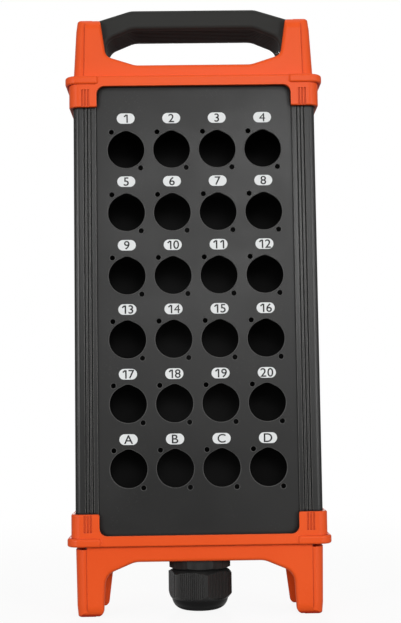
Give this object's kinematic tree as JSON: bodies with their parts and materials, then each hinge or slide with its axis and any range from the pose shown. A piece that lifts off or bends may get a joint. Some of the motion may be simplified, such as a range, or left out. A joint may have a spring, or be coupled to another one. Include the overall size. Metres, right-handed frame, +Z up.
{
  "type": "portable power distribution box",
  "caption": "Portable distribution box with orange end caps, black panels punched for round connectors, carry handle and cable gland.",
  "frame": {"origin": "middle of the footprint, on the plane the legs stand on", "axes": "+Z up along the box, +Y from front to back, the punched panel faces -Y"},
  "size_m": [0.1696, 0.0602, 0.3993],
  "materials": {
    "cap_orange": "fine satin moulding",
    "panel_black": "fine matt powder coat",
    "rail_black": "satin black anodised look",
    "handle_grey": "satin moulding, ribbed inside the grip",
    "gland_black": "semi-gloss polyamide",
    "gasket_rubber": "matt",
    "steel_screws": "zinc plated",
    "brass": "turned"
  },
  "bodies": {
    "housing": {"front_panel": "panel_black", "rear_panel": "panel_black", "left_rail": "rail_black", "right_rail": "rail_black", "top_cap": "cap_orange", "bottom_cap": "cap_orange", "top_gasket": "gasket_rubber", "bottom_gasket": "gasket_rubber", "top_cap_screws": "steel_screws", "bottom_cap_screws": "steel_screws", "handle": "handle_grey", "handle_inserts": "brass", "handle_washers": "steel_screws", "handle_screws": "steel_screws", "gland_body": "gland_black", "gland_flat_seal": "gasket_rubber", "gland_locknut": "gland_black", "earth_stud": "brass", "earth_washers": "steel_screws", "earth_nuts": "brass"},
    "gland_sleeve": {"gland_seal": "gasket_rubber"},
    "gland_nut_body": {"gland_nut": "gland_black"}
  },
  "joints": [
    {"name": "gland_travel", "type": "slide", "parent": "housing", "child": "gland_sleeve", "axis": [0, 0, 1], "range_m": [-0.00075, 0.00075]},
    {"name": "gland_turn", "type": "hinge", "parent": "gland_sleeve", "child": "gland_nut_body", "pos_m": [0, 0, 0.014], "axis": [0, 0, 1], "range_deg": [-180, 180]}
  ],
  "couplings": [
    {"joint": "gland_travel", "follows": "gland_turn", "m_per_rad": 0.00023873}
  ]
}
